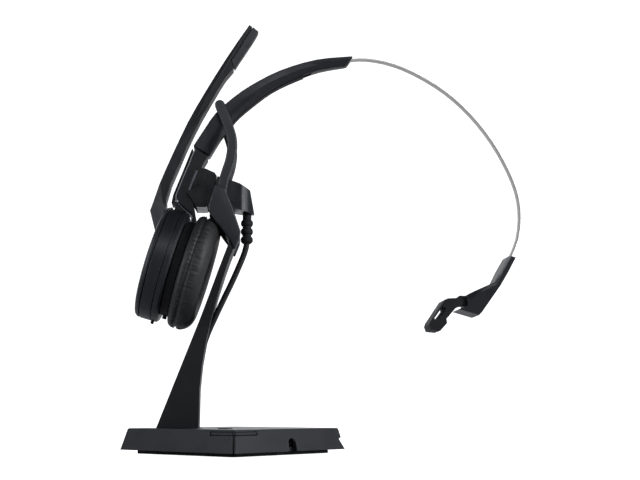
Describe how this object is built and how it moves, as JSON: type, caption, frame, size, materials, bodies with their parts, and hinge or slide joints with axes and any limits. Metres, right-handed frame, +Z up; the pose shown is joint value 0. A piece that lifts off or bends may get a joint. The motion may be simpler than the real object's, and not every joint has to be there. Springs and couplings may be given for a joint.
{
  "type": "office headset on its charging stand",
  "caption": "Single-sided wireless office headset with a boom microphone, hanging on a leaning charging stand with a square weighted base.",
  "frame": {"origin": "centre of the foot pad's underside, where the stand rests on a desk", "axes": "+Z up; +X along the base diagonal from the ear cup towards the temple pad; +Y away from the side that faces a viewer who has the ear cup on the left"},
  "size_m": [0.2177, 0.1182, 0.2364],
  "materials": {
    "casing_black": "fine satin moulded plastic",
    "stand_black": "matt moulded plastic",
    "side_plate_grey": "satin moulded plastic, slightly lighter",
    "rubber_black": "matt rubber",
    "spring_steel": "drawn spring steel",
    "ballast_steel": "plain steel plate",
    "contact_gold": "gold plated contact",
    "circuit_green": "solder mask over laminate",
    "magnet_nickel": "nickel plate",
    "leatherette": "soft black leatherette",
    "boom_charcoal": "matt moulded plastic",
    "smoked_lens": "smoked clear plastic",
    "battery_wrap": "shrink wrap",
    "cable_black": "matt cable jacket",
    "driver_frame": "glass filled plastic"
  },
  "bodies": {
    "stand": {"base_top_shell": "casing_black", "indicator_window": "smoked_lens", "status_light": "smoked_lens", "base_bottom_cover": "stand_black", "base_ballast": "ballast_steel", "base_foot_pad": "rubber_black", "base_screw_1": "magnet_nickel", "base_screw_2": "magnet_nickel", "base_screw_3": "magnet_nickel", "base_screw_4": "magnet_nickel", "base_circuit_board": "circuit_green", "usb_socket": "magnet_nickel", "stand_post": "stand_black", "side_plate_near": "side_plate_grey", "side_plate_far": "side_plate_grey", "prong_near": "side_plate_grey", "prong_far": "side_plate_grey", "post_screw_1": "magnet_nickel", "post_screw_2": "magnet_nickel", "dock_front_housing": "casing_black", "dock_rear_cover": "casing_black", "dock_magnet": "magnet_nickel", "strain_relief": "rubber_black", "dock_cable": "cable_black", "cable_plug": "magnet_nickel"},
    "mode_button": {"mode_button": "stand_black"},
    "contact_pin_1": {"contact_pin_1": "contact_gold"},
    "contact_pin_2": {"contact_pin_2": "contact_gold"},
    "headset": {"slider_arm": "stand_black", "arm_spring_leaf": "spring_steel", "arm_outer_cover": "stand_black", "headset_contact_plate": "contact_gold"},
    "headband": {"headband_shell": "casing_black", "headband_lining": "side_plate_grey", "spring_band": "spring_steel", "temple_arm": "casing_black", "temple_hinge_pin": "magnet_nickel"},
    "temple_pad": {"temple_pad": "rubber_black"},
    "ear_cup": {"cup_outer_housing": "casing_black", "cup_inner_housing": "casing_black", "cushion_mount": "stand_black", "speaker_driver": "driver_frame", "speaker_grille": "stand_black", "ear_cushion": "leatherette", "headset_circuit_board": "circuit_green", "headset_battery": "battery_wrap", "antenna_board": "circuit_green"},
    "boom": {"boom_hub": "casing_black", "boom_arm": "boom_charcoal", "mic_cover": "boom_charcoal", "mic_capsule": "driver_frame"},
    "call_button": {"call_button": "side_plate_grey"},
    "volume_switch": {"volume_switch": "rubber_black"}
  },
  "joints": [
    {"name": "headset_lift", "type": "slide", "parent": "stand", "child": "headset", "axis": [-1, 0, 0], "range_m": [0, 0.06]},
    {"name": "size_adjust", "type": "hinge", "parent": "headset", "child": "headband", "pos_m": [0.068, 0, 0.12], "axis": [0, 1, 0], "range_deg": [0, 13]},
    {"name": "temple_tilt", "type": "hinge", "parent": "headband", "child": "temple_pad", "pos_m": [0.1218, 0, 0.0806], "axis": [0, 1, 0], "range_deg": [-12, 12]},
    {"name": "cup_swivel", "type": "hinge", "parent": "headset", "child": "ear_cup", "pos_m": [-0.02416, 0, 0.11928], "axis": [0.2756, 0, 0.9613], "range_deg": [-5, 5]},
    {"name": "boom_turn", "type": "hinge", "parent": "ear_cup", "child": "boom", "pos_m": [-0.04367, 0, 0.10167], "axis": [-0.9613, 0, 0.2756], "range_deg": [-120, 120]},
    {"name": "call_button_press", "type": "slide", "parent": "ear_cup", "child": "call_button", "axis": [0.9613, 0, -0.2756], "range_m": [0, 0.0008], "stiffness_N_per_m": 800},
    {"name": "volume_slide", "type": "slide", "parent": "ear_cup", "child": "volume_switch", "axis": [0, 1, 0], "range_m": [-0.0015, 0.0015], "stiffness_N_per_m": 100},
    {"name": "mode_button_press", "type": "slide", "parent": "stand", "child": "mode_button", "axis": [0, 0, -1], "range_m": [0, 0.0006], "stiffness_N_per_m": 500},
    {"name": "contact_pin_1_press", "type": "slide", "parent": "stand", "child": "contact_pin_1", "axis": [1, 0, 0], "range_m": [0, 0.0008], "stiffness_N_per_m": 150},
    {"name": "contact_pin_2_press", "type": "slide", "parent": "stand", "child": "contact_pin_2", "axis": [1, 0, 0], "range_m": [0, 0.0008], "stiffness_N_per_m": 150}
  ]
}
